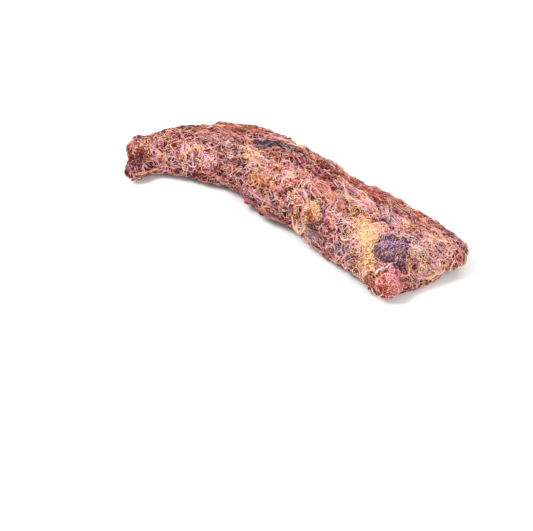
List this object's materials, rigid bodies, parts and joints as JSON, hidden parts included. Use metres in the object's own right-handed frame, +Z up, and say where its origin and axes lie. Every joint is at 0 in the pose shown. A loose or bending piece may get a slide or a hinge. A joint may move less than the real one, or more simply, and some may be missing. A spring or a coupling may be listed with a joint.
{
  "type": "dried irish moss pad",
  "caption": "Long, curved, matted pad of dried red seaweed: wiry fronds pressed into a lumpy slab with tufts of gold, ochre, plum, red, mauve and cream fronds.",
  "frame": {"origin": "under the middle of the pad's box, on the surface it lies on", "axes": "+X along the pad towards its broad end, +Y towards the side with the high crown, +Z up"},
  "size_m": [0.4378, 0.1908, 0.0626],
  "materials": {
    "mat_fronds": "rough, dry, fibrous",
    "golden_fronds": "rough, dry, fibrous",
    "ochre_fronds": "rough, dry, fibrous",
    "plum_fronds": "rough, dry, fibrous",
    "red_fronds": "rough, dry, fibrous",
    "mauve_fronds": "rough, dry, fibrous",
    "cream_fronds": "rough, dry, fibrous",
    "amber_fronds": "rough, dry, fibrous"
  },
  "bodies": {
    "root": {"moss_mat": "mat_fronds", "golden_tuft": "golden_fronds", "ochre_tuft": "ochre_fronds", "plum_tuft": "plum_fronds", "red_curl_tuft": "red_fronds", "mauve_tuft": "mauve_fronds", "cream_tuft": "cream_fronds", "amber_tuft": "amber_fronds"}
  },
  "joints": []
}
